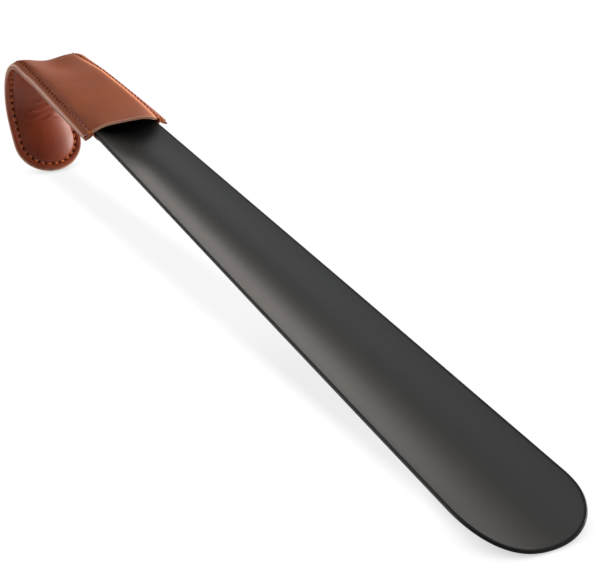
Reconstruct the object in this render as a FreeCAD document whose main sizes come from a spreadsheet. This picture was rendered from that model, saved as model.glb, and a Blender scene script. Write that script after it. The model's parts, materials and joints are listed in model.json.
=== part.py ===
import FreeCAD, Part
import math
import os

import Sketcher

# Long shoehorn: one pressed steel blade whose tang runs inside a stitched leather handle
# and bends round into a hanging hook.
#
# Every piece is modelled in the blade's own frame, in mm: x = 0 just ahead of the mouth of
# the handle, +x to the toe, +y across, z = 0 on the plane of the blade's two rims, hollow side up.
# The rest placement then tips that frame so the toe and the hook stand on z = 0.

SIZES = {
    # blade
    "blade_length": 313.0,
    "mouth_width": 28.2,
    "toe_width": 44.3,
    "mouth_depth": 4.7,
    "toe_depth": 5.0,
    "sheet": 1.4,
    "toe_trim": 43.0,
    "toe_tip_radius": 90.0,
    "toe_corner_radius": 19.8,
    # tang, inside the leather
    "tang_width": 21.4,
    "tang_depth": 2.1,
    "tang_sink": 1.9,
    # course of the handle: straight, tight bend, open curl, measured on the seam plane
    "mouth_back": 2.4,
    "handle_length": 84.0,
    "bend_radius": 22.35,
    "bend_turn": 120.0,
    "curl_radius": 61.5,
    "curl_turn": 25.0,
    # leather
    "leather": 1.4,
    "seam_drop": 2.0,
    "strap_mouth": 35.8,
    "strap_width": 31.0,
    "cover_foot": 1.6,
    "cover_brow": 0.6,
    "belly_flat": 14.0,
    "belly_lap": 0.3,
    "ease": 0.05,
    "glue_line": 0.02,
    # stitching
    "stitch_inset": 2.7,
    "stitch_pitch": 3.2,
    "stitch_run": 2.5,
    "thread": 0.8,
    # resting pose
    "rest_tilt": 7.125,
    "rest_shift": -99.51,
    "rest_lift": 45.18,
}

V = FreeCAD.Vector
doc = FreeCAD.newDocument("Shoehorn")
sheet = doc.addObject("Spreadsheet::Sheet", "Params")
for row, (alias, value) in enumerate(SIZES.items(), start=1):
    sheet.set(f"A{row}", alias)
    sheet.set(f"B{row}", str(value))
    sheet.setAlias(f"B{row}", alias)
doc.recompute()


def size(alias):
    """One driving dimension, read back from the sheet."""
    return float(sheet.get(alias))


def bound(text):
    """An expression over the sheet, from text that has its driving names in <>."""
    return text.replace("<", "Params.").replace(">", "")


def worked_out(text):
    """The present value of such an expression, for a sketch's starting geometry."""
    value = sheet.evalExpression(bound(text))
    return float(getattr(value, "Value", value))


# Places along the handle, as (x, z, turn) expressions of the rim line and the tilt there.
BEND_HUB = "(<bend_radius> + <seam_drop>)"
CURL_HUB = "(<curl_radius> + <seam_drop>)"


def after_curl(turn):
    """The place reached after the whole bend and `turn` degrees of the curl."""
    first = "<bend_turn> * 1 deg"
    last = f"(<bend_turn> + {turn}) * 1 deg"
    x = (
        f"-<handle_length> - ({BEND_HUB} - {CURL_HUB}) * sin({first})"
        f" - {CURL_HUB} * sin({last})"
    )
    z = (
        f"-{BEND_HUB} + ({BEND_HUB} - {CURL_HUB}) * cos({first})"
        f" + {CURL_HUB} * cos({last})"
    )
    return x, z, f"<bend_turn> + {turn}"


TOE = ("<blade_length>", "0", "0")
START = ("0", "0", "0")
MOUTH = ("-<mouth_back>", "0", "0")
BEND = ("-<handle_length>", "0", "0")
CURL = after_curl("0")


def new_sketch(body, name, role, place):
    """A sketch on one of the body's own planes, carried to a place along the handle."""
    sketch = body.newObject("Sketcher::SketchObject", name)
    plane = next(f for f in body.Origin.OriginFeatures if f.Role == role)
    sketch.AttachmentSupport = [(plane, "")]
    sketch.MapMode = "FlatFace"
    x, z, turn = place
    across = V(1, 0, 0) if role == "YZ_Plane" else V(0, 1, 0)
    start = FreeCAD.Placement(V(0, 0, 0), FreeCAD.Rotation(across, 1))
    sketch.AttachmentOffset = start
    along, up = ("z", "y") if role == "YZ_Plane" else ("x", "z")
    sketch.setExpression(f"AttachmentOffset.Base.{along}", bound(x))
    sketch.setExpression(f"AttachmentOffset.Base.{up}", bound(z))
    sketch.setExpression("AttachmentOffset.Rotation.Angle", bound(f"-({turn}) * 1 deg"))
    return sketch


def hold(sketch, kind, *places, by):
    """A driving dimension on the sketch, bound to the sheet."""
    index = sketch.addConstraint(
        Sketcher.Constraint(kind, *places, worked_out(by))
    )
    sketch.setExpression(f"Constraints[{index}]", bound(by))


def join(sketch, *pairs):
    for one, other in pairs:
        sketch.addConstraint(Sketcher.Constraint("Coincident", *one, *other))


def hub_line(sketch, hub):
    """The bend's axis, as the sketch's construction line, a given distance below."""
    depth = worked_out(hub)
    line = sketch.addGeometry(Part.LineSegment(V(-9, -depth, 0), V(9, -depth, 0)), True)
    sketch.addConstraint(Sketcher.Constraint("Horizontal", line))
    hold(sketch, "DistanceX", line, 1, -1, 1, by="9")
    hold(sketch, "DistanceX", -1, 1, line, 2, by="9")
    hold(sketch, "DistanceY", line, 1, -1, 1, by=hub)


def draw_trapezoid(sketch, low_half, low, high_half, high):
    """A trapezoid symmetric about the strap's middle, from its four size expressions."""
    a, b = worked_out(low_half), worked_out(high_half)
    z0, z1 = worked_out(low), worked_out(high)
    corners = [V(-a, z0, 0), V(a, z0, 0), V(b, z1, 0), V(-b, z1, 0)]
    for i in range(4):
        sketch.addGeometry(Part.LineSegment(corners[i], corners[(i + 1) % 4]), False)
    join(sketch, *[((i, 2), ((i + 1) % 4, 1)) for i in range(4)])
    sketch.addConstraint(Sketcher.Constraint("Symmetric", 0, 1, 0, 2, -2))
    sketch.addConstraint(Sketcher.Constraint("Symmetric", 2, 1, 2, 2, -2))
    hold(sketch, "DistanceX", 0, 1, 0, 2, by=f"2 * ({low_half})")
    hold(sketch, "DistanceX", 2, 2, 2, 1, by=f"2 * ({high_half})")
    hold(sketch, "DistanceY", -1, 1, 0, 1, by=low)
    hold(sketch, "DistanceY", -1, 1, 2, 1, by=high)


def trough_arc(width, depth, sink):
    """(half width, radius, centre height) expressions of the sheet's middle surface."""
    half = f"(({width} - <sheet>) / 2)"
    radius = f"(({half} * {half} + {depth} * {depth}) / (2 * {depth}))"
    centre = f"({radius} - {depth} - <sheet> / 2 - {sink})"
    return half, radius, centre


def draw_trough(sketch, width, depth, sink):
    """The blade's section: a shallow trough of even thickness with fully rounded rims."""
    half, radius, centre = trough_arc(width, depth, sink)
    rim = f"(<sheet> / 2 + {sink})"
    m, r, c = (worked_out(e) for e in (half, radius, centre))
    thick = size("sheet") / 2
    fall = worked_out(rim)
    lean = math.asin(m / r)
    middle = V(0, c, 0)
    up = V(0, 0, 1)
    low, high = 1.5 * math.pi - lean, 1.5 * math.pi + lean
    under = Part.ArcOfCircle(Part.Circle(middle, up, r + thick), low, high)
    over = Part.ArcOfCircle(Part.Circle(middle, up, r - thick), low, high)
    right = Part.ArcOfCircle(Part.Circle(V(m, -fall, 0), up, thick), high, high + math.pi)
    left = Part.ArcOfCircle(
        Part.Circle(V(-m, -fall, 0), up, thick), low - math.pi, low
    )
    for arc in (under, over, right, left):
        sketch.addGeometry(arc, False)
    for one, other in (((0, 2), (2, 1)), ((1, 2), (2, 2)), ((0, 1), (3, 2)), ((1, 1), (3, 1))):
        sketch.addConstraint(Sketcher.Constraint("Tangent", *one, *other))
    join(sketch, ((0, 3), (1, 3)))
    sketch.addConstraint(Sketcher.Constraint("PointOnObject", 0, 3, -2))
    hold(sketch, "DistanceY", -1, 1, 0, 3, by=centre)
    hold(sketch, "DistanceX", -1, 1, 2, 3, by=half)
    hold(sketch, "DistanceY", 2, 3, -1, 1, by=rim)
    hold(sketch, "DistanceX", 3, 3, -1, 1, by=half)
    hold(sketch, "Radius", 2, by="<sheet> / 2")


def draw_core(sketch, width, depth, sink):
    """The room the leather leaves for the tang and the air in its trough."""
    _, radius, centre = trough_arc(width, depth, sink)
    lid = f"<ease> - {sink}"
    half = f"({width} / 2 + <ease>)"
    outer = f"({radius} + <sheet> / 2 + <ease>)"
    a, c, r = (worked_out(e) for e in (half, centre, outer))
    top = worked_out(lid)
    low = c - math.sqrt(r * r - a * a)
    lean = math.asin(a / r)
    corners = [V(a, low, 0), V(a, top, 0), V(-a, top, 0), V(-a, low, 0)]
    for i in range(3):
        sketch.addGeometry(Part.LineSegment(corners[i], corners[i + 1]), False)
    floor = Part.Circle(V(0, c, 0), V(0, 0, 1), r)
    sketch.addGeometry(
        Part.ArcOfCircle(floor, 1.5 * math.pi - lean, 1.5 * math.pi + lean), False
    )
    join(sketch, ((0, 2), (1, 1)), ((1, 2), (2, 1)), ((2, 2), (3, 1)), ((3, 2), (0, 1)))
    sketch.addConstraint(Sketcher.Constraint("Vertical", 0))
    sketch.addConstraint(Sketcher.Constraint("Vertical", 2))
    sketch.addConstraint(Sketcher.Constraint("Horizontal", 1))
    sketch.addConstraint(Sketcher.Constraint("PointOnObject", 3, 3, -2))
    hold(sketch, "DistanceX", -1, 1, 0, 2, by=half)
    hold(sketch, "DistanceX", 1, 2, -1, 1, by=half)
    hold(sketch, "DistanceY", -1, 1, 1, 1, by=lid)
    hold(sketch, "DistanceY", -1, 1, 3, 3, by=centre)
    hold(sketch, "Radius", 3, by=outer)


# Width, depth and sink below the rim line of the steel, and width of the strap, by place.
TANG = ("<tang_width>", "<tang_depth>", "<tang_sink>", "<strap_width>")
AT = {
    "toe": (TOE, "<toe_width>", "<toe_depth>", "0", None),
    "mouth": (MOUTH, "<mouth_width>", "<mouth_depth>", "0", "<strap_mouth>"),
    "bend": (BEND, *TANG),
    "curl": (CURL, *TANG),
}


def section_trough(sketch, width, depth, sink, strap):
    draw_trough(sketch, width, depth, sink)


def section_core(sketch, width, depth, sink, strap):
    draw_core(sketch, width, depth, sink)


def section_outer_slab(sketch, width, depth, sink, strap):
    half = f"{strap} / 2"
    draw_trapezoid(
        sketch, half, "<glue_line> - <seam_drop>", half, "<leather> - <seam_drop>"
    )


def section_inner_slab(sketch, width, depth, sink, strap):
    half = f"{strap} / 2"
    draw_trapezoid(
        sketch, half, "-<seam_drop> - <leather>", half, "-<seam_drop> - <glue_line>"
    )


def section_brow(sketch, width, depth, sink, strap):
    draw_trapezoid(
        sketch,
        f"{width} / 2 + <cover_foot>",
        "<glue_line> - <seam_drop>",
        f"{width} / 2 + <cover_brow>",
        f"<leather> + <ease> - {sink}",
    )


def section_belly(sketch, width, depth, sink, strap):
    draw_trapezoid(
        sketch,
        "<belly_flat> / 2",
        f"-{depth} - <sheet> - <ease> - <leather> - {sink}",
        f"{width} / 2 + <cover_foot>",
        "<belly_lap> - <seam_drop> - <leather>",
    )


HUBS = {"bend": BEND_HUB, "curl": CURL_HUB}
HANDLE = ("bend", "mouth", "curl")


def swing(body, sketch, name, turn):
    """Carry a section round its bend axis, away from the toe."""
    feature = body.newObject("PartDesign::Revolution", name)
    feature.Profile = sketch
    feature.ReferenceAxis = (sketch, ["Axis0"])
    feature.Reversed = True
    feature.Angle = worked_out(turn)
    feature.setExpression("Angle", bound(turn))
    sketch.Visibility = False
    return feature


def round_tip(body, name, radius, turn):
    """Round the far end of the strap in plan, with a half circle as wide as the strap."""
    sketch = new_sketch(body, f"{name}_tip_plan", "XY_Plane", after_curl(turn))
    r = worked_out(radius)
    reach = 3.0
    corners = [
        V(r, r, 0),
        V(r, r + reach, 0),
        V(-reach, r + reach, 0),
        V(-reach, -r - reach, 0),
        V(r, -r - reach, 0),
        V(r, -r, 0),
    ]
    for i in range(5):
        sketch.addGeometry(Part.LineSegment(corners[i], corners[i + 1]), False)
    half = Part.ArcOfCircle(
        Part.Circle(V(r, 0, 0), V(0, 0, 1), r), math.pi / 2, 1.5 * math.pi
    )
    sketch.addGeometry(half, False)
    join(sketch, *[((i, 2), (i + 1, 1)) for i in range(4)])
    join(sketch, ((4, 2), (5, 2)), ((5, 1), (0, 1)))
    for line in (0, 2, 4):
        sketch.addConstraint(Sketcher.Constraint("Vertical", line))
    for line in (1, 3):
        sketch.addConstraint(Sketcher.Constraint("Horizontal", line))
    sketch.addConstraint(Sketcher.Constraint("PointOnObject", 5, 3, -1))
    sketch.addConstraint(Sketcher.Constraint("Vertical", 5, 3, 5, 1))
    hold(sketch, "DistanceX", -1, 1, 5, 3, by=radius)
    hold(sketch, "Radius", 5, by=radius)
    hold(sketch, "DistanceX", 2, 1, -1, 1, by=str(reach))
    hold(sketch, "DistanceY", -1, 1, 2, 1, by=f"{radius} + {reach}")
    hold(sketch, "DistanceY", 2, 2, -1, 1, by=f"{radius} + {reach}")
    doc.recompute()
    cut = body.newObject("PartDesign::Pocket", f"{name}_tip")
    cut.Profile = sketch
    cut.Type = "Length"
    cut.SideType = "Symmetric"
    cut.Length = 18.0
    sketch.Visibility = False
    return cut


def checked(feature, before):
    """Stop unless the last cut really took material away."""
    doc.recompute()
    if not feature.Shape.Volume < before - 0.5:
        raise RuntimeError(f"{feature.Name} cut nothing")


def strap_body(name, section, places, tip_radius):
    """Sweep one section along the handle: loft the straight, swing the bend and the curl,
    then round the tip. The piece ends short of the strap's tip by its own narrower half width."""
    body = doc.addObject("PartDesign::Body", name)
    sketches = {}
    for spot in places:
        place, *dims = AT[spot]
        sketch = new_sketch(body, f"{name}_at_{spot}", "YZ_Plane", place)
        section(sketch, *dims)
        if spot in HUBS:
            hub_line(sketch, HUBS[spot])
        sketches[spot] = sketch
    doc.recompute()
    loft = body.newObject("PartDesign::AdditiveLoft", f"{name}_straight")
    loft.Profile = sketches["bend"]
    loft.Sections = [sketches[s] for s in places if s in ("mouth", "toe")]
    loft.Ruled = True
    doc.recompute()
    swing(body, sketches["bend"], f"{name}_bend", "<bend_turn>")
    doc.recompute()
    turn = f"(<curl_turn> - (<strap_width> / 2 - {tip_radius}) / <curl_radius> * 180 / pi)"
    last = swing(body, sketches["curl"], f"{name}_curl", turn)
    doc.recompute()
    before = last.Shape.Volume
    checked(round_tip(body, name, tip_radius, turn), before)
    return body


def toe_plan(body, feature_name):
    """Trim the blade's toe in plan: a nearly flat nose between two round corners."""
    sketch = new_sketch(body, f"{feature_name}_plan", "XY_Plane", START)
    length, half = size("blade_length"), size("toe_trim") / 2
    nose, corner = size("toe_tip_radius"), size("toe_corner_radius")
    reach = 4.0
    start = length - 40.0
    hub = length - nose
    x = hub + math.sqrt((nose - corner) ** 2 - (half - corner) ** 2)
    lean = math.atan2(half - corner, x - hub)
    up = V(0, 0, 1)
    far, wide = length + reach, half + reach
    corners = [
        V(start, -half, 0),
        V(start, -wide, 0),
        V(far, -wide, 0),
        V(far, wide, 0),
        V(start, wide, 0),
        V(start, half, 0),
    ]
    sketch.addGeometry(Part.LineSegment(V(start, half, 0), V(x, half, 0)), False)
    for centre, radius, first, last in (
        (V(x, half - corner, 0), corner, lean, math.pi / 2),
        (V(hub, 0, 0), nose, -lean, lean),
        (V(x, corner - half, 0), corner, -math.pi / 2, -lean),
    ):
        circle = Part.Circle(centre, up, radius)
        sketch.addGeometry(Part.ArcOfCircle(circle, first, last), False)
    sketch.addGeometry(Part.LineSegment(V(x, -half, 0), V(start, -half, 0)), False)
    for i in range(5):
        sketch.addGeometry(Part.LineSegment(corners[i], corners[i + 1]), False)
    for one, other in (((0, 2), (1, 2)), ((1, 1), (2, 2)), ((2, 1), (3, 2)), ((3, 1), (4, 1))):
        sketch.addConstraint(Sketcher.Constraint("Tangent", *one, *other))
    join(sketch, *[((i, 2), (i + 1, 1)) for i in range(4, 9)], ((9, 2), (0, 1)))
    for line in (5, 7, 9):
        sketch.addConstraint(Sketcher.Constraint("Vertical", line))
    for line in (0, 4, 6, 8):
        sketch.addConstraint(Sketcher.Constraint("Horizontal", line))
    sketch.addConstraint(Sketcher.Constraint("PointOnObject", 2, 3, -1))
    hold(sketch, "DistanceX", -1, 1, 0, 1, by="<blade_length> - 40")
    hold(sketch, "DistanceY", -1, 1, 0, 1, by="<toe_trim> / 2")
    hold(sketch, "DistanceY", 4, 2, -1, 1, by="<toe_trim> / 2")
    hold(sketch, "DistanceX", -1, 1, 2, 3, by="<blade_length> - <toe_tip_radius>")
    hold(sketch, "Radius", 2, by="<toe_tip_radius>")
    hold(sketch, "Radius", 1, by="<toe_corner_radius>")
    hold(sketch, "Radius", 3, by="<toe_corner_radius>")
    hold(sketch, "DistanceX", 0, 1, 6, 2, by=f"40 + {reach}")
    hold(sketch, "DistanceY", 6, 1, -1, 1, by=f"<toe_trim> / 2 + {reach}")
    hold(sketch, "DistanceY", -1, 1, 8, 1, by=f"<toe_trim> / 2 + {reach}")
    doc.recompute()
    cut = body.newObject("PartDesign::Pocket", feature_name)
    cut.Profile = sketch
    cut.Type = "Length"
    cut.SideType = "Symmetric"
    cut.Length = 30.0
    sketch.Visibility = False
    return cut


def blade():
    """The pressed steel sheet: hollow blade, and the tang bent into the hook."""
    body = strap_body(
        "blade_solid", section_trough, HANDLE + ("toe",), "<tang_width> / 2"
    )
    before = body.Shape.Volume
    cut = toe_plan(body, "toe")
    checked(cut, before)
    return body


def join_parts(name, kind, one, other):
    made = doc.addObject(kind, name)
    made.Base = one
    made.Tool = other
    doc.recompute()
    return made


def cover(name, slab_section, shape_section, room):
    """One leather ply: flat flanges and tip, raised clear of the tang between them."""
    slab = strap_body(f"{name}_slab", slab_section, HANDLE, "<strap_width> / 2")
    raised = strap_body(
        f"{name}_raised", shape_section, HANDLE, "(<tang_width> / 2 + <cover_foot>)"
    )
    blank = join_parts(f"{name}_blank", "Part::Fuse", slab, raised)
    return join_parts(f"{name}_ply", "Part::Cut", blank, room)


def course(s):
    """(x, z, turn in radians) of the rim line, s mm along the seam plane from x = 0."""
    straight, bend, curl = size("handle_length"), size("bend_radius"), size("curl_radius")
    drop = size("seam_drop")
    turn = math.radians(size("bend_turn"))
    if s <= straight:
        return -s, 0.0, 0.0
    if s <= straight + bend * turn:
        a = (s - straight) / bend
        hub = bend + drop
        return -straight - hub * math.sin(a), hub * (math.cos(a) - 1), a
    x, z, _ = course(straight + bend * turn)
    hub = curl + drop
    a = turn + (s - straight - bend * turn) / curl
    x -= hub * (math.sin(a) - math.sin(turn))
    z += hub * (math.cos(a) - math.cos(turn))
    return x, z, a


def seam_line():
    """The stitch row in the unrolled strap: up one side, round the tip, down the other."""
    inset, pitch, back = size("stitch_inset"), size("stitch_pitch"), size("mouth_back")
    mouth, strap = size("strap_mouth") / 2 - inset, size("strap_width") / 2 - inset
    straight = size("handle_length")
    tip = straight + size("bend_radius") * math.radians(size("bend_turn"))
    tip += size("curl_radius") * math.radians(size("curl_turn"))
    hub = tip - size("strap_width") / 2

    def at(d):
        s = back + d
        if s < straight:
            return s, -mouth + (mouth - strap) * d / (straight - back)
        if s < hub:
            return s, -strap
        a = (s - hub) / strap
        return hub + strap * math.sin(a), -strap * math.cos(a)

    whole = 2 * (hub - back) + math.pi * strap
    count = int((whole / 2 - 1.5) // pitch)
    spots = []
    for i in range(-count, count + 1):
        ends = []
        for half in (-0.5, 0.5):
            d = whole / 2 + i * pitch + half * size("stitch_run")
            s, y = at(min(d, whole - d))
            ends.append((s, y if d < whole / 2 else -y))
        spots.append(ends)
    return spots


def on_strap(s, y, rise):
    """A point of the strap: s along, y across, rise above the rim line."""
    x, z, a = course(s)
    return V(x - rise * math.sin(a), y, z + rise * math.cos(a))


def stitches(name, rise):
    """A row of round-ended thread runs lying on one face of the seam."""
    radius = size("thread") / 2
    run = size("stitch_run") - 2 * radius
    slant = radius * math.sqrt(0.5)
    foot, head = V(0, 0, -radius), V(0, 0, run + radius)
    near, far = V(radius, 0, 0), V(radius, 0, run)
    profile = Part.Wire(
        [
            Part.Arc(foot, V(slant, 0, -slant), near).toShape(),
            Part.LineSegment(near, far).toShape(),
            Part.Arc(far, V(slant, 0, run + slant), head).toShape(),
            Part.LineSegment(head, foot).toShape(),
        ]
    )
    capsule = Part.Face(profile).revolve(V(0, 0, 0), V(0, 0, 1), 360)
    runs = []
    for (s0, y0), (s1, y1) in seam_line():
        p0, p1 = on_strap(s0, y0, rise), on_strap(s1, y1, rise)
        along = (p1 - p0).normalize()
        one = capsule.copy()
        one.Placement = FreeCAD.Placement(
            p0 + along * radius, FreeCAD.Rotation(V(0, 0, 1), along)
        )
        runs.append(one)
    thread = doc.addObject("Part::Feature", name)
    thread.Shape = Part.makeCompound(runs)
    return thread


room = strap_body("tang_room", section_core, HANDLE, "(<tang_width> / 2 + <ease>)")
top = size("leather") - size("seam_drop")
under = -size("leather") - size("seam_drop")
clear = size("thread") / 2 + size("ease")
PIECES = {
    "blade": blade(),
    "outer_cover": cover("outer", section_outer_slab, section_brow, room),
    "inner_cover": cover("inner", section_inner_slab, section_belly, room),
    "needle_thread": stitches("needle_thread_rows", top + clear),
    "bobbin_thread": stitches("bobbin_thread_rows", under - clear),
}

for label, piece in PIECES.items():
    piece.Label = label
    piece.Placement.Rotation = FreeCAD.Rotation(V(0, 1, 0), 1)
    piece.setExpression("Placement.Rotation.Angle", "Params.rest_tilt * 1 deg")
    piece.setExpression("Placement.Base.x", "Params.rest_shift")
    piece.setExpression("Placement.Base.z", "Params.rest_lift")
doc.recompute()

for item in doc.Objects:
    if "Invalid" in item.State or "Error" in item.State:
        raise RuntimeError(f"{item.Name} did not build: {item.State}")

os.makedirs("parts", exist_ok=True)
for label, piece in PIECES.items():
    shape = piece.Shape
    if shape.isNull() or not shape.isValid():
        raise RuntimeError(f"{label} has no valid shape")
    shape.exportStep(f"parts/{label}.step")
    box = shape.BoundBox
    print(
        f"{label}: {len(shape.Solids)} solids, {shape.Volume:.1f} mm3,"
        f" x {box.XMin:.2f} {box.XMax:.2f} y {box.YMin:.2f} {box.YMax:.2f}"
        f" z {box.ZMin:.2f} {box.ZMax:.2f}"
    )
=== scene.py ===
import json
import math

import bmesh
import bpy
import numpy as np
from mathutils import Matrix, Vector, noise


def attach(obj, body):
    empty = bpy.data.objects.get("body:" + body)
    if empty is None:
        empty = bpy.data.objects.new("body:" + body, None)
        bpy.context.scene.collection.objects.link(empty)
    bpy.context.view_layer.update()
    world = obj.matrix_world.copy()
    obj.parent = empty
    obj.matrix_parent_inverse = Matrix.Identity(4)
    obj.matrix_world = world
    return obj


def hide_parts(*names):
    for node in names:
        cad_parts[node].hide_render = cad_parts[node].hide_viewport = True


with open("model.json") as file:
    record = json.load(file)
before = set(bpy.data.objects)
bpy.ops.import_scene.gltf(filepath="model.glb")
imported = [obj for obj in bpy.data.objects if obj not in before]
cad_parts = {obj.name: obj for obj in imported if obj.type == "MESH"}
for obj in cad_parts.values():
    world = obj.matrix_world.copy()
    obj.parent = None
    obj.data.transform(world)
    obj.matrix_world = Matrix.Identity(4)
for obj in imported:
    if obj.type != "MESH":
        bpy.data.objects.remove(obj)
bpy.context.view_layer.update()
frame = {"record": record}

rng = np.random.default_rng(7)
MM = 0.001

# ---- driving sizes, in mm and radians, in the blade's own frame -----------------------------
# x = 0 just ahead of the handle's mouth, +x to the toe, z = 0 on the blade's rims. s runs the
# other way, from x = 0 into the handle, so the bare blade has negative s.
TILT = math.radians(7.125)

# course of the strap; the radii are those of the seam, which lies under the rim line
STRAIGHT = 84.0
BEND_R, BEND_A = 22.35, math.radians(120.0)
CURL_R, CURL_A = 61.5, math.radians(25.0)
SEAM_DROP = 2.0
BEND_END = STRAIGHT + BEND_R * BEND_A

# steel
SHEET = 1.4
TOE_S, TOE_LONG, TOE_POWER = -313.0, 25.7, 2.45
TANG_HALF, TANG_POWER = 10.7, 2.0
# painted shade: full on the blade's round edge, in part on the narrow band beside it
RIM_SHADE, RIM_BAND_SHADE = 1.0, 0.4

# leather
MOUTH_S = 2.4
TIP_S = BEND_END + CURL_R * CURL_A + 0.4
TIP_LONG, TIP_POWER = 15.6, 2.06
HUB_S = TIP_S - TIP_LONG
EDGE_R, EDGE_POWER = 0.9, 2.3
HOLE_R, HOLE_DEPTH = 0.62, 0.45
MOUTH_ARCH, MOUTH_REACH = 3.4, 12.0
OUTER_GROOVE, INNER_GROOVE = 0.16, 0.38
SWELL, SWELL_ALONG, SWELL_ACROSS = 0.05, 9.0, 6.0

# skews of the worn handle: a rolled bend, its near edge pressed down, a curl that leans
BEND_ROLL, NEAR_PRESS, CURL_LEAN = 0.045, 1.4, 0.33

# stitching
PITCH = 3.2
THREAD_R, WRAP_R, THREAD_FLAT = 0.42, 0.4, 0.85
THREAD_BOW, THREAD_SINK, THREAD_SLANT = 0.52, 0.42, 0.16
RUN_FROM, BOW_FROM = 0.18, 0.14
RUN_RINGS, WRAP_RINGS, STRAND_SIDES = 9, 13, 8

# the hook's rail mount is centred on the hub of the bend
RAIL = frame["record"]["mounts"][0]["pos_m"]


# ---- the strap's course -----------------------------------------------------------------------
def to_row(x, y, z):
    """Blade frame in mm to row frame in metres: tipped to rest about the hub of the bend."""
    c, s = math.cos(TILT), math.sin(TILT)
    dx, dz = x + STRAIGHT, z + BEND_R + SEAM_DROP
    return np.stack(
        [RAIL[0] + MM * (dx * c + dz * s), RAIL[1] + MM * y, RAIL[2] + MM * (dz * c - dx * s)],
        axis=-1,
    )


def course(s):
    """x, z and turn of the rim line at s: straight, then the tight bend, then the open curl."""
    bend = np.clip((s - STRAIGHT) / BEND_R, 0, BEND_A)
    turn = bend + np.maximum(s - BEND_END, 0) / CURL_R
    r, q = BEND_R + SEAM_DROP, CURL_R + SEAM_DROP
    x = -np.minimum(s, STRAIGHT) - r * np.sin(bend) - q * (np.sin(turn) - np.sin(bend))
    z = r * (np.cos(bend) - 1) + q * (np.cos(turn) - np.cos(bend))
    return x, z, turn


def ramp(v, a, b):
    """0 up to a, 1 from b on and smooth between."""
    t = np.clip((np.asarray(v, float) - a) / (b - a), 0, 1)
    return t * t * (3 - 2 * t)


def roll(s, y):
    """The rise that the rolled bend and its pressed near edge add."""
    tipped = -BEND_ROLL * y * ramp(s, 55, 84) * (1 - ramp(s, 98, 130))
    pressed = ramp(s, 62, 84) * (1 - ramp(s, 84, 110)) * ramp(-np.asarray(y), 11.8, 16.0)
    return tipped - NEAR_PRESS * pressed


def on_strap(s, y, rise):
    """Row-frame points of the unrolled strap, with the skews added."""
    x, z, turn = course(np.asarray(s, float))
    rise = rise + roll(s, y)
    y = y + CURL_LEAN * ramp(s, 98, 140)
    return to_row(x - rise * np.sin(turn), y, z + rise * np.cos(turn))


def along(s, *pairs):
    """A size that changes with s, given as (s, size) pairs, its corners rounded off."""
    at, value = zip(*pairs)
    return sum(np.interp(np.asarray(s, float) + d, at, value) for d in (-6, -3, 0, 3, 6)) / 5


# ---- sizes along the strap --------------------------------------------------------------------
def strap_half(s):
    """Half width of both plies."""
    return along(
        s, (0, 18.8), (20, 18.35), (40, 17.65), (60, 16.9), (72, 16.75), (82, 16.25), (96, 15.35),
        (110, 15.35), (132, 15.8), (162, 15.85)
    )


def seam_half(s):
    """Distance of the stitch line from the strap's middle."""
    return along(
        s, (0, 15.2), (12, 15.7), (40, 15.3), (60, 14.6), (84, 13.1), (100, 12.8), (130, 12.8),
        (162, 13.1)
    )


def seat(s, q):
    """Height of the surface between the two plies: its outer edges droop along the straight."""
    edge = along(
        s, (0, -1.05), (20, -1.6), (40, -2.0), (60, -2.2), (78, -2.6), (90, -2.75), (106, -2.3),
        (125, -1.8), (165, -2.0)
    )
    droop = along(s, (0, 0.35), (12, 0.8), (25, 0.98), (62, 0.98), (84, 0.4), (100, 0))
    return edge + droop * (strap_half(s) - q)


def thickness(s):
    """One ply, skived thinner towards the mouth."""
    return along(s, (0, 1.1), (60, 1.38))


def sink(s):
    """How far the steel's rims drop below the rim line inside the leather."""
    return along(s, (0, 0.0), (STRAIGHT, 2.6), (110, 2.1))


def blade_half(s):
    """Half width of the blade, and of the tang from s = 0 on."""
    return along(
        s, (-313, 22.1), (-240, 20.35), (-205, 19.5), (-150, 18.15), (-85, 16.35), (0, 14.05),
        (84, TANG_HALF)
    )


def trough_depth(s):
    """How deep the sheet's hollow is below its rims; it runs out before the hook's tip."""
    return along(s, (-312, 5.0), (0, 4.7), (84, 2.1), (HUB_S - 4, 2.1), (HUB_S + 6, 0.5))


# ---- mesh helpers -----------------------------------------------------------------------------
def add_object(name, verts, faces, attributes, gap):
    """A welded, smooth-shaded mesh object with float attributes on its points."""
    mesh = bpy.data.meshes.new(name)
    mesh.from_pydata(verts.tolist(), [], faces)
    for key, values in attributes.items():
        layer = mesh.attributes.new(key, "FLOAT", "POINT")
        layer.data.foreach_set("value", values.astype(np.float32))
    obj = bpy.data.objects.new(name, mesh)
    bpy.context.scene.collection.objects.link(obj)
    weld(mesh, gap)
    return obj


def weld(mesh, gap):
    """Joins points closer than gap, and keeps only the sharpest edges crisp."""
    bm = bmesh.new()
    bm.from_mesh(mesh)
    bmesh.ops.remove_doubles(bm, verts=bm.verts, dist=gap)
    bmesh.ops.dissolve_degenerate(bm, edges=bm.edges, dist=1e-7)
    bmesh.ops.recalc_face_normals(bm, faces=bm.faces)
    for face in bm.faces:
        face.smooth = True
    for edge in bm.edges:
        if len(edge.link_faces) == 2 and edge.calc_face_angle(0) > math.radians(50):
            edge.smooth = False
    bm.to_mesh(mesh)
    bm.free()


def end_caps(n, m):
    """Faces that join the upper half of n rows to the lower half at the first and last column."""
    faces = []
    for j in (0, m - 1):
        for i in range(n // 2):
            a, b = i * m + j, (i + 1) * m + j
            c, d = (n - 2 - i) * m + j, (n - 1 - i) * m + j
            cap = (a, b, c, d) if b != c else (a, b, d)
            faces.append(cap if j == 0 else cap[::-1])
    return faces


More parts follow.
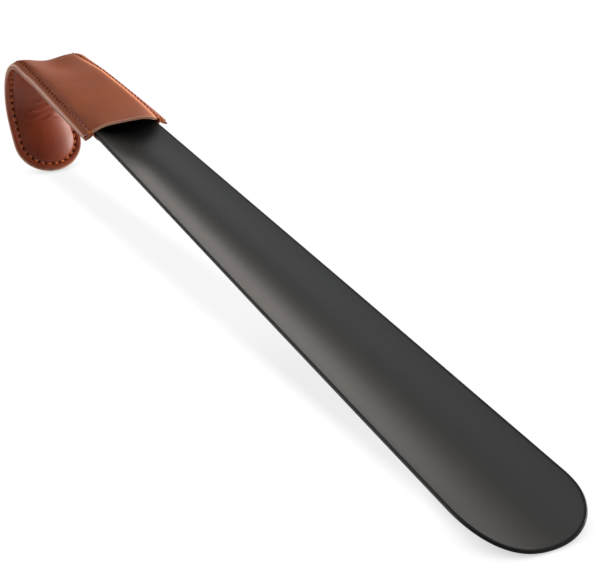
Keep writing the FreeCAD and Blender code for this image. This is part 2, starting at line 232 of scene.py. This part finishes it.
def skin(name, rows, closed, attributes):
    """A skin through rows of points, from the top's middle over the edge to the underside's
    middle. The columns close into a ring, or end in caps."""
    n, m = len(rows), len(rows[0])
    faces = []
    for i in range(n - 1):
        for j in range(m if closed else m - 1):
            k = (j + 1) % m
            faces.append((i * m + j, i * m + k, (i + 1) * m + k, (i + 1) * m + j))
    if not closed:
        faces += end_caps(n, m)
    flat = {key: np.concatenate(values) for key, values in attributes.items()}
    return add_object(name, np.concatenate(rows), faces, flat, 2e-6)


def over_and_under(profile):
    """The profile on the upper side, then back on the lower side: (side, step) pairs."""
    return [(1, step) for step in profile] + [(-1, step) for step in profile[::-1][1:]]


def finish_piece(obj, material, node):
    obj.data.materials.append(material)
    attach(obj, "root")
    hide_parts(node)


# ---- blade ------------------------------------------------------------------------------------
def trough(s, y):
    """Height and sideways lean of the blade's middle surface: a round arc from rim to rim."""
    half = blade_half(s) - SHEET / 2
    depth = trough_depth(s)
    r = (half**2 + depth**2) / (2 * depth)
    y = np.clip(y, -r * 0.95, r * 0.95)
    return -SHEET / 2 - depth - sink(s) + r - np.sqrt(r**2 - y**2), y / r


def blade_columns():
    """Columns round the blade: (s, side, angle, end), with end -1 on the toe and 1 on the tang."""
    toe_hub, tang_hub = TOE_S + TOE_LONG, HUB_S - 5.0
    quarter = math.pi / 2
    side = [*np.linspace(toe_hub, 0, 150)[:-1], *np.linspace(0, tang_hub, 70)][1:-1]
    columns = [(s, -1.0, None, 0) for s in side]
    columns += [(tang_hub, None, t, 1) for t in np.linspace(-quarter, quarter, 41)]
    columns += [(s, 1.0, None, 0) for s in side[::-1]]
    columns += [(toe_hub, None, t, -1) for t in np.linspace(quarter, -quarter, 91)]
    return columns


def blade_point(column, share, height):
    """s and y at a share of the half width, or at a height on the round edge if share is None."""
    at, side, angle, end = column
    half = float(blade_half(at))
    long_ = TOE_LONG if end < 0 else TANG_HALF
    if share is None:
        reach = half if angle is None else min(half, long_)
        share = 1 - SHEET / 2 * (1 - math.sqrt(1 - height**2)) / reach
    if angle is None:
        return at, side * share * half
    power = TOE_POWER if end < 0 else TANG_POWER
    c, q = math.cos(angle), math.sin(angle)
    s = at + end * share * long_ * abs(c) ** (2 / power)
    return s, share * half * math.copysign(abs(q) ** (2 / power), q)


def build_blade():
    """The pressed sheet. The rim attribute marks its round edge and a narrow band beside it, which
    the coat darkens with painted shade.
    """
    columns = blade_columns()
    profile = [(share, 1.0) for share in (*np.linspace(0, 0.9, 15), 0.94, 0.965)]
    profile += [(None, height) for height in np.linspace(1, 0, 7)]
    rows, rim = [], []
    for side, (share, height) in over_and_under(profile):
        s, y = np.array([blade_point(column, share, height) for column in columns]).T
        z, lean = trough(s, y)
        off = side * height * SHEET / 2
        rows.append(on_strap(s, y - off * lean, z + off * np.sqrt(1 - lean**2)))
        # painted shade: full on the round edge, in part on the band beside it
        tone = RIM_SHADE if share is None else RIM_BAND_SHADE * (share > 0.96)
        rim.append(np.full(len(s), tone))
    return skin("blade_sheet", rows, True, {"rim": rim})


# ---- leather ----------------------------------------------------------------------------------
def u_columns(first, last, step, arc_count):
    """Columns round a strap from its cut end to its round tip and back: (s, side, angle)."""
    n = round((last - first) / step)
    up = [(s, -1.0, None) for s in np.linspace(first, last, n + 1)[:-1]]
    turn = [(last, None, t) for t in np.linspace(-math.pi / 2, math.pi / 2, arc_count)]
    return up + turn + [(s, 1.0, None) for s in np.linspace(last, first, n + 1)[1:]]


def ply_outline(columns, share):
    """Plan points of the nested outline at a share of the half width."""
    s, y = [], []
    for at, side, angle in columns:
        half = float(strap_half(at))
        if angle is None:
            s.append(at)
            y.append(side * share * half)
        else:
            c, k = math.cos(angle), math.sin(angle)
            s.append(at + share * TIP_LONG * abs(c) ** (2 / TIP_POWER))
            y.append(share * half * math.copysign(abs(k) ** (2 / TIP_POWER), k))
    return np.array(s), np.array(y)


def seam_spots():
    """s and y of the needle holes, evenly spaced on the seam's path."""
    s, y = [], []
    for at, side, angle in u_columns(MOUTH_S + 1.4, HUB_S, 0.25, 240):
        q = float(seam_half(at))
        s.append(at if angle is None else at + q * math.cos(angle))
        y.append(side * q if angle is None else q * math.sin(angle))
    run = np.concatenate([[0], np.cumsum(np.hypot(np.diff(s), np.diff(y)))])
    spots = np.linspace(0, run[-1], int(run[-1] // PITCH) + 1)
    return np.interp(spots, run, s), np.interp(spots, run, y)


HOLE_S, HOLE_Y = seam_spots()


def hole_field(s, y):
    """1 at a needle hole, fading to 0 around it."""
    out = np.zeros(len(s))
    for hole_s, hole_y in zip(HOLE_S, HOLE_Y):
        near = np.abs(s - hole_s) < HOLE_R * 2.2
        d = np.hypot(s[near] - hole_s, y[near] - hole_y)
        out[near] = np.maximum(out[near], np.exp(-((d / HOLE_R) ** 2)))
    return out


def swell(s, y, seed):
    """Smooth unevenness over the unrolled strap."""
    return np.array(
        [noise.noise(Vector((a / SWELL_ALONG, b / SWELL_ACROSS, seed))) for a, b in zip(s, y)]
    )


def edge_share(e):
    """1 inside a ply, falling to 0 over its rounded cut edge; e is the distance to the edge."""
    t = np.clip(1 - e / EDGE_R, 0, 1)
    return (1 - t**EDGE_POWER) ** (1 / EDGE_POWER)


def soft_min(a, b, width):
    """The lower of two heights, blended over width where they cross."""
    near = np.clip(1 - np.abs(a - b) / width, 0, 1)
    return np.minimum(a, b) - near**2 * width / 4


def outer_rise(s, q):
    """Outer face of the outer ply: arched at the mouth, a flat land, then hollow in the hook."""
    seam = seam_half(s)
    flange = seat(s, q) + thickness(s)
    arch = MOUTH_ARCH * (1 - np.clip(q / (seam + 1.6), 0, 1) ** 4)
    t = np.clip(q / (seam - 1.5), 0, 1)
    crest = along(
        s, (0, 2.5), (40, 2.75), (60, 2.1), (76, 0.5), (88, -1.1), (106, -0.8), (130, -0.5)
    )
    crown = along(s, (0, 0.8), (50, 0.8), (84, 0.0))
    sag = along(s, (0, 0.0), (25, 0.1), (60, 0.7), (88, 1.5), (118, 1.5), (150, 0.5), (165, 0.2))
    land = crest - sag * (1 - t**2) ** 2 - crown * (q / seam) ** 2
    fade = np.exp(-((np.maximum(s - MOUTH_S, 0) / MOUTH_REACH) ** 1.3))
    top = land + (arch - land) * fade
    rise = soft_min(top, flange, along(s, (0, 1.4), (20, 2.8), (65, 2.8), (90, 0.6)))
    return rise - OUTER_GROOVE * np.exp(-(((q - seam) / 0.6) ** 2))


def inner_rise(s, q):
    """Inner face of the inner ply, drawn tight over the steel like a pad."""
    seam = seam_half(s)
    foot = seam - 0.45
    t = np.clip(q / foot, 0, 1)
    belly = along(s, (0, -7.6), (84, -7.2), (120, -7.0), (150, -6.6), (165, -6.1))
    power = along(s, (0, 2.0), (80, 2.2), (165, 2.1))
    under = seat(s, np.maximum(q, foot)) - thickness(s)
    dome = (under - belly) * (1 - t**power) ** 0.8
    return under - dome + INNER_GROOVE * np.exp(-(((q - seam) / 0.55) ** 2))


def random_crease():
    """Place, middle, reach, lean and height of one wrinkle."""
    low = (112.5, -5.0, 2.2, -0.32, 0.12)
    high = (134.0, 9.0, 5.0, 0.12, 0.28)
    return [rng.uniform(a, b) for a, b in zip(low, high)]


CREASES = [random_crease() for _ in range(32)]


def creases(s, y):
    """Fine wrinkles across the inner ply where the bend has bunched it up."""
    out = np.zeros(len(s))
    for place, middle, reach, lean, height in CREASES:
        off = s - place - lean * (y - middle) - 0.35 * np.sin(0.9 * y + place)
        out += height * np.exp(-((off / 0.5) ** 2) - ((y - middle) / reach) ** 2)
    return out


def mouth_pull(s, y, q, mouth, set_back):
    """How far the mouth's cut end is drawn in: more in the middle and at the corners."""
    middle = 1 - np.clip(q / 13.0, 0, 1) ** 2
    corner = 0.4 * ramp(np.abs(y), 13, 18) + 0.8 * ramp(y, 12, 18)
    return (mouth + set_back * middle + corner) * np.exp(-(s - MOUTH_S) / 9.0)


def shown_relief(s, y, sign, hole):
    """What the needle holes, the unevenness and the wrinkles add to a ply's shown face."""
    relief = sign * (SWELL * swell(s, y, 3.1 + sign) - HOLE_DEPTH * hole)
    return relief if sign > 0 else relief - creases(s, y)


def ply_profile():
    """Shares of the half width, closer together at the seam and round the cut edge."""
    half = 15.5  # near enough all along the strap to place the edge's rows
    edge = (EDGE_R, 0.66, 0.45, 0.3, 0.18, 0.09, 0.03, 0.0)
    flat = [*np.linspace(0, 0.70, 13)[:-1], *np.linspace(0.70, 0.938, 30)]
    return flat + [1 - e / half for e in edge]


def build_ply(name, face, sign, mouth, set_back):
    """One leather ply, its shown face on top for sign 1 and underneath for sign -1. Its
    attributes mark the cut edge, the needle holes, the place on the strap and, beside the far
    row of stitches, the stretch that gets a painted highlight."""
    columns = u_columns(MOUTH_S, HUB_S, 0.42, 81)
    rows, marks = [], {"rim": [], "hole": [], "run": [], "side": [], "far_highlight": []}
    for side, share in over_and_under(ply_profile()):
        s, y = ply_outline(columns, share)
        half = strap_half(np.minimum(s, HUB_S))
        q, e = share * half, (1 - share) * half
        thick = thickness(s)
        level = face(s, q) - sign * thick / 2 + side * sign * edge_share(e) * thick / 2
        hole = np.zeros(len(s))
        if side == 1:
            hole = hole_field(s, y)
            level = level + shown_relief(s, y, sign, hole)
        rows.append(on_strap(s + mouth_pull(s, y, q, mouth, set_back), y, level))
        # painted highlight beside the far row of stitches, along the straight
        far_highlight = np.exp(-(((y - seam_half(s) + 1.35) / 0.95) ** 2)) * (1 - ramp(s, 72, 92))
        # the cut edge, which gets its edge colour with a painted reflection
        rim = 1 - ramp(np.minimum(e, s - MOUTH_S + 0.05), 0.1, 0.8)
        for key, values in zip(marks, (rim, hole, s, y, far_highlight)):
            marks[key].append(values)
    return skin(name, rows, False, marks)


# ---- stitching --------------------------------------------------------------------------------
def strand(verts, faces, points, across, ups, radii):
    """A closed round strand through points; across and ups are its two cross directions."""
    sides, base = STRAND_SIDES, len(verts)
    for p, a, u, r in zip(points, across, ups, radii):
        for k in range(sides):
            t = 2 * math.pi * k / sides
            verts.append((p + r * (a * math.cos(t) + THREAD_FLAT * u * math.sin(t))).tolist())
    for i in range(len(points) - 1):
        for k in range(sides):
            a, b = base + i * sides + k, base + i * sides + (k + 1) % sides
            faces.append((a, b, b + sides, a + sides))
    end = base + (len(points) - 1) * sides
    faces.append(tuple(base + k for k in range(sides))[::-1])
    faces.append(tuple(end + k for k in range(sides)))


def face_level(face, s, y):
    """Height of a ply's face on its seam."""
    q = float(seam_half(s)) if s < HUB_S else math.hypot(s - HUB_S, y)
    return float(face(np.array([s]), np.array([q]))[0])


def stitch(verts, faces, face, sign, lift, start, end):
    """One small bowed run of thread from hole to hole, its ends diving into the holes."""
    step = end - start
    side = np.array([-step[1], step[0], 0]) / math.hypot(*step)
    slant = THREAD_SLANT * sign * rng.uniform(0.7, 1.3)
    thick = THREAD_R * rng.uniform(0.94, 1.06)
    points, radii = [], []
    for f in np.linspace(RUN_FROM, 1 - RUN_FROM, RUN_RINGS):
        bow = math.sin(math.pi * (f - BOW_FROM) / (1 - 2 * BOW_FROM))
        s, y = start + step * f + side[:2] * slant * (2 * f - 1)
        rise = face_level(face, s, y) + sign * (lift + THREAD_BOW * bow - THREAD_SINK)
        points.append(np.array([s, y, rise]))
        radii.append(thick * (0.75 + 0.25 * bow))
    up = np.array([0.0, 0.0, 1.0])
    strand(verts, faces, points, [side] * RUN_RINGS, [up] * RUN_RINGS, radii)


def wrap_mouth(verts, faces):
    """The seam's last two runs at each mouth corner, taken round the cut end of both plies."""
    across = [np.array([0.0, 1.0, 0.0])] * WRAP_RINGS
    for side in (-1, 1):
        for out in (0.0, 1.0):
            y = side * (float(seam_half(0)) + out)
            top = face_level(outer_rise, MOUTH_S + 1.6, y)
            low = face_level(inner_rise, MOUTH_S + 1.6, y)
            hub = np.array([MOUTH_S + 0.6, y, (top + low) / 2])
            reach = np.array([1.5, 0, (top - low) / 2 + 0.15])
            points, ups = [], []
            for angle in np.radians(np.linspace(-100, 100, WRAP_RINGS)):
                c, k = math.cos(angle), math.sin(angle)
                outward = np.array([-math.copysign(abs(c) ** 0.6, c), 0, k])
                points.append(hub + outward * reach)
                ups.append(outward / np.linalg.norm(outward))
            strand(verts, faces, points, across, ups, [WRAP_R] * WRAP_RINGS)


def build_stitches(name, face, sign, lift):
    """A row of stitches on one face; the outer row also wraps the mouth's corners."""
    verts, faces = [], []
    spots = np.stack([HOLE_S, HOLE_Y], axis=-1)
    for start, end in zip(spots, spots[1:]):
        stitch(verts, faces, face, sign, lift, start, end)
    plain = len(verts)
    if sign > 0:
        wrap_mouth(verts, faces)
    verts = np.array(verts)
    dark_thread = np.where(np.arange(len(verts)) < plain, float(sign > 0), 0.0)
    return add_object(name, on_strap(*verts.T), faces, {"dark_thread": dark_thread}, 1e-7)


# ---- materials --------------------------------------------------------------------------------
class Nodes:
    """Short hand for building a node tree."""

    def __init__(self, name):
        self.material = bpy.data.materials.new(name)
        self.material.use_nodes = True
        self.tree = self.material.node_tree
        self.shader = self.tree.nodes["Principled BSDF"]
        self.at = self.add("ShaderNodeTexCoord").outputs["Object"]

    def add(self, kind, **inputs):
        """A node; each name sets an input socket, or a property where there is no such socket."""
        node = self.tree.nodes.new(kind)
        for key, value in inputs.items():
            if key in node.inputs:
                self.plug(node.inputs[key], value)
            else:
                setattr(node, key, value)
        return node

    def plug(self, socket, value):
        if isinstance(value, bpy.types.NodeSocket):
            self.tree.links.new(value, socket)
        else:
            socket.default_value = value

    def set(self, **inputs):
        for key, value in inputs.items():
            self.plug(self.shader.inputs[key.replace("_", " ")], value)

    def noise(self, scale, detail=3.0, rough=0.55):
        node = self.add("ShaderNodeTexNoise", Scale=scale, Detail=detail, Roughness=rough)
        self.plug(node.inputs["Vector"], self.at)
        return node.outputs["Fac"]

    def cells(self, scale):
        node = self.add("ShaderNodeTexVoronoi", Scale=scale, Vector=self.at)
        return node.outputs["Distance"]

    def attribute(self, name):
        return self.add("ShaderNodeAttribute", attribute_name=name).outputs["Fac"]

    def math(self, operation, a, b=0.0, c=0.0, clamp=False):
        node = self.add("ShaderNodeMath", operation=operation)
        node.use_clamp = clamp
        for socket, value in zip(node.inputs, (a, b, c)):
            self.plug(socket, value)
        return node.outputs[0]

    def step(self, value, low, high):
        """0 below low, 1 above high and smooth between."""
        node = self.add("ShaderNodeMapRange", interpolation_type="SMOOTHSTEP", Value=value)
        self.plug(node.inputs["From Min"], low)
        self.plug(node.inputs["From Max"], high)
        return node.outputs["Result"]

    def mix(self, share, a, b):
        """Colour a, turning into b as share goes to 1."""
        node = self.add("ShaderNodeMix", data_type="RGBA")
        sockets = [s for s in node.inputs if s.type == "RGBA"]
        self.plug(node.inputs["Factor"], share)
        for socket, colour in zip(sockets, (a, b)):
            self.plug(socket, (*colour, 1) if isinstance(colour, tuple) else colour)
        return next(s for s in node.outputs if s.type == "RGBA")

    def bump(self, height, strength, distance, normal=None):
        node = self.add("ShaderNodeBump", Height=height, Strength=strength, Distance=distance)
        if normal is not None:
            self.plug(node.inputs["Normal"], normal)
        return node.outputs["Normal"]


def srgb(r, g, b):
    return tuple(
        c / 255 / 12.92 if c / 255 <= 0.04045 else ((c / 255 + 0.055) / 1.055) ** 2.4
        for c in (r, g, b)
    )


def bend_shade_share(m, cloud):
    """Share of the painted shade on the bend: an oval that fades over 11 mm along and 8 mm across,
    broken up by the clouding.
    """
    run = m.math("DIVIDE", m.math("SUBTRACT", m.attribute("run"), 80.0), 11.0)
    side = m.math("DIVIDE", m.math("ADD", m.attribute("side"), 2.0), 8.0)
    far = m.math("ADD", m.math("MULTIPLY", run, run), m.math("MULTIPLY", side, side))
    oval = m.math("EXPONENT", m.math("MULTIPLY", far, -1.0))
    return m.math("MULTIPLY", oval, m.math("MULTIPLY_ADD", cloud, 0.8, 0.3))


def leather_grain(m, fine):
    """Small cells with open pores between them, over a broader unevenness."""
    pore = m.math("LESS_THAN", m.cells(420.0), 0.13)
    grain = m.math("ADD", m.cells(1500.0), m.math("MULTIPLY", fine, 0.7))
    grain = m.math("SUBTRACT", grain, m.math("MULTIPLY", pore, 0.5))
    return m.bump(m.noise(130.0, 3.0, 0.6), 0.10, 0.0004, m.bump(grain, 0.16, 0.0001))


def leather(name, light, deep, edge, gloss, rough, hole_shade, bend_shade=None):
    """Dyed leather with cut edges and needle holes. The edge colour carries a painted reflection
    and the holes painted shade; a bend colour adds painted shade on the bend and a painted
    highlight beside the far row of stitches.
    """
    m = Nodes(name)
    cloud = m.noise(42.0, 4.0, 0.6)
    fine = m.noise(900.0, 2.0, 0.5)
    colour = m.mix(m.math("MULTIPLY_ADD", cloud, 1.6, -0.3, True), deep, light)
    colour = m.mix(m.math("MULTIPLY_ADD", fine, 0.5, -0.16, True), colour, deep)
    shine = gloss
    if bend_shade:
        # painted shade on the bend, which also takes the gloss away there
        share = bend_shade_share(m, cloud)
        colour = m.mix(m.math("MULTIPLY", share, 0.9, clamp=True), colour, bend_shade)
        shine = m.math("MULTIPLY_ADD", share, -0.9 * gloss, gloss, True)
        # painted highlight along the far row of stitches
        painted_highlight = m.math("MULTIPLY", m.attribute("far_highlight"), 0.75)
        colour = m.mix(painted_highlight, colour, srgb(216, 134, 90))
    # cut edge: its edge finish colour, made greyer and lighter by a painted reflection of the white
    # surroundings
    colour = m.mix(m.math("MULTIPLY", m.attribute("rim"), 0.8), colour, edge)
    # painted shade in the needle holes, over their real dip; their gloss goes too
    hole = m.attribute("hole")
    colour = m.mix(m.math("MULTIPLY", hole, hole_shade, clamp=True), colour, srgb(52, 23, 12))
    m.set(
        Base_Color=colour,
        Roughness=m.math("MULTIPLY_ADD", cloud, 0.14, rough),
        Specular_IOR_Level=m.math("MULTIPLY", shine, m.math("SUBTRACT", 1.0, hole, clamp=True)),
        Normal=leather_grain(m, fine),
    )
    return m.material


def black_coat():
    """Satin black over pressed steel, with painted shade round the rim: darker and duller there,
    standing in for the dark surroundings that the round edge reflects.
    """
    m = Nodes("satin_black_coat")
    broad = m.noise(26.0, 3.0, 0.5)
    # the rim attribute carries the painted shade
    rim = m.attribute("rim")
    m.set(
        Base_Color=m.mix(rim, m.mix(broad, srgb(43, 44, 44), srgb(49, 49, 48)), srgb(26, 26, 27)),
        Roughness=m.math("MULTIPLY_ADD", broad, 0.06, 0.36),
        Specular_IOR_Level=m.math("MULTIPLY_ADD", rim, -0.34, 0.5),
        Normal=m.bump(m.noise(2600.0, 2.0, 0.5), 0.10, 0.00006),
    )
    return m.material


def waxed_thread():
    """Twisted thread, darker on the outer row's runs."""
    m = Nodes("waxed_thread")
    tone = m.noise(700.0, 2.0, 0.5)
    light_thread = m.mix(tone, srgb(150, 80, 42), srgb(188, 110, 62))
    dark_thread = m.mix(tone, srgb(118, 58, 32), srgb(142, 74, 42))
    twist = m.add("ShaderNodeTexWave", Scale=900.0, Distortion=0.6, Vector=m.at)
    m.set(
        Base_Color=m.mix(m.attribute("dark_thread"), light_thread, dark_thread),
        Roughness=0.7,
        Specular_IOR_Level=0.06,
        Normal=m.bump(twist.outputs["Fac"], 0.4, 0.0001),
    )
    return m.material


def dim_band(m):
    """The light that the floor loses under the object, with x and y in metres: a soft band from
    the hook to the toe, deeper where the blade comes down."""
    place = m.add("ShaderNodeSeparateXYZ", Vector=m.at)
    x, y = place.outputs["X"], place.outputs["Y"]
    half = m.math("MULTIPLY_ADD", x, 0.027, 0.0114)
    band = m.step(m.math("SUBTRACT", half, m.math("ABSOLUTE", y)), -0.0045, 0.0045)
    ends = m.math("SUBTRACT", m.step(x, -0.205, -0.185), m.step(x, 0.17, 0.20))
    depth = m.math("MULTIPLY_ADD", m.step(x, 0.0, 0.07), 0.08, 0.10)
    return m.math("MULTIPLY", m.math("MULTIPLY", band, ends), depth)


def pale_floor():
    """White paper that the camera sees evenly lit, with painted shadow: a dim band and a dark
    contact shadow.
    """
    m = Nodes("pale_floor")
    m.set(Base_Color=m.mix(m.noise(6.0), (0.90, 0.90, 0.90), (0.92, 0.92, 0.92)), Roughness=0.9)
    m.set(Specular_IOR_Level=0.0)
    # painted contact shadow from ambient occlusion, seen only by the camera
    near = m.add("ShaderNodeAmbientOcclusion", Distance=0.009, samples=24)
    contact = m.math("POWER", m.math("SUBTRACT", 1.0, near.outputs["AO"]), 1.7)
    level = m.math("MULTIPLY_ADD", contact, -0.5, m.math("SUBTRACT", 1.02, dim_band(m)))
    seen = m.add("ShaderNodeEmission", Color=(1, 1, 1, 1), Strength=level)
    pick = m.add("ShaderNodeMixShader")
    m.plug(pick.inputs[0], m.add("ShaderNodeLightPath").outputs["Is Camera Ray"])
    m.plug(pick.inputs[1], m.shader.outputs[0])
    m.plug(pick.inputs[2], seen.outputs[0])
    m.plug(m.tree.nodes["Material Output"].inputs["Surface"], pick.outputs[0])
    return m.material


# ---- the object -------------------------------------------------------------------------------
def build_handle():
    # Edge colours: edge finish with a painted reflection. The colour at the bend is painted shade,
    # and so is the darkening of the needle holes.
    top = leather(
        "outer_leather", light=srgb(149, 76, 42), deep=srgb(121, 60, 34), edge=srgb(186, 144, 124),
        gloss=0.13, rough=0.42, hole_shade=0.75, bend_shade=srgb(122, 50, 16)
    )
    under = leather(
        "inner_leather", light=srgb(142, 61, 32), deep=srgb(96, 37, 18), edge=srgb(122, 70, 44),
        gloss=0.34, rough=0.36, hole_shade=0.85
    )
    outer = build_ply("outer_ply", outer_rise, 1, mouth=0.0, set_back=0.4)
    finish_piece(outer, top, "outer_cover")
    inner = build_ply("inner_ply", inner_rise, -1, mouth=-1.6, set_back=0.6)
    finish_piece(inner, under, "inner_cover")


def build_seam():
    thread = waxed_thread()
    needle = build_stitches("needle_stitches", outer_rise, 1, lift=0.12)
    finish_piece(needle, thread, "needle_thread")
    bobbin = build_stitches("bobbin_stitches", inner_rise, -1, lift=0.0)
    finish_piece(bobbin, thread, "bobbin_thread")


# ---- floor, light, camera ---------------------------------------------------------------------
def lay_floor(half=6.0, gap=0.0003):
    """A square of paper just under the object."""
    mesh = bpy.data.meshes.new("floor")
    corners = [(-half, -half, 0), (half, -half, 0), (half, half, 0), (-half, half, 0)]
    mesh.from_pydata(corners, [], [(0, 1, 2, 3)])
    mesh.materials.append(pale_floor())
    floor = bpy.data.objects.new("floor", mesh)
    floor.location.z = -gap
    bpy.context.scene.collection.objects.link(floor)


def area(name, place, target, size, power, colour=(1, 1, 1), glossy=True, lie=(0, 0, 1)):
    """An area light facing target; its first side runs along lie."""
    data = bpy.data.lights.new(name, "AREA")
    data.shape = "RECTANGLE"
    data.size, data.size_y = size
    data.energy = power
    data.color = colour
    lamp = bpy.data.objects.new(name, data)
    lamp.visible_glossy = glossy
    z = (Vector(place) - Vector(target)).normalized()
    x = (Vector(lie) - Vector(lie).dot(z) * z).normalized()
    axes = Matrix((x, z.cross(x), z)).transposed()
    lamp.matrix_world = Matrix.Translation(Vector(place)) @ axes.to_4x4()
    bpy.context.scene.collection.objects.link(lamp)


def light_object():
    """Soft lamps, in metres and watts; back and sky give the long reflections on the blade."""
    handle, middle = (-0.18, 0, 0.05), (-0.02, 0, 0.02)
    warm, warmer, cool = (1.0, 0.92, 0.85), (1.0, 0.9, 0.84), (0.92, 0.96, 1.0)
    area("key", (-0.45, 1.2, 0.42), handle, (0.5, 0.5), 10.5, glossy=False)
    area("side", (0.15, 1.38, 0.42), handle, (0.9, 0.5), 33, warm, lie=(1, -0.1, 0))
    area("back", (-1.12, 0.735, 0.305), middle, (0.8, 0.5), 2.5, warmer, lie=(0.56, 0.25, 0.2))
    area("sky", (-0.9, 0.0, 0.96), middle, (1.1, 0.6), 1.5, lie=(0.55, 0.1, 0.2))
    area("top", (0.0, 0.3, 1.8), middle, (1.4, 1.4), 3, lie=(1, 0, 0))
    area("front", (-0.9, -1.1, 0.5), middle, (0.8, 0.8), 13, cool)


def fill_studio(fill=0.22, white=1.02):
    """The studio fills faintly, and its walls look white to the camera."""
    world = bpy.data.worlds.new("studio")
    world.use_nodes = True
    tree = world.node_tree
    glow = tree.nodes["Background"]
    glow.inputs["Color"].default_value = (1, 1, 1, 1)
    seen = tree.nodes.new("ShaderNodeLightPath")
    level = tree.nodes.new("ShaderNodeMath")
    level.operation = "MULTIPLY_ADD"
    level.inputs[1].default_value = white - fill
    level.inputs[2].default_value = fill
    tree.links.new(seen.outputs["Is Camera Ray"], level.inputs[0])
    tree.links.new(level.outputs[0], glow.inputs["Strength"])
    bpy.context.scene.world = world
    bpy.context.scene.view_settings.view_transform = "Standard"


def place_camera(eye, aim, turn, lens):
    """A camera at eye that looks at aim, turned about its own axis, on a 36 mm wide sensor."""
    back = (Vector(eye) - Vector(aim)).normalized()
    level = Vector((0, 0, 1)).cross(back).normalized()
    right = level * math.cos(turn) + back.cross(level) * math.sin(turn)
    data = bpy.data.cameras.new("camera")
    data.sensor_width = 36.0
    data.lens = lens
    data.clip_end = 50
    camera = bpy.data.objects.new("camera", data)
    axes = Matrix((right, back.cross(right), back)).transposed()
    camera.matrix_world = Matrix.Translation(Vector(eye)) @ axes.to_4x4()
    bpy.context.scene.collection.objects.link(camera)
    bpy.context.scene.camera = camera


finish_piece(build_blade(), black_coat(), "blade")
build_handle()
build_seam()
lay_floor()
light_object()
fill_studio()
place_camera(
    eye=(0.63548, -0.29394, 0.30469),
    aim=(-0.00842, 0.03046, 0.0),
    turn=math.radians(-2.54),
    lens=120.09,
)
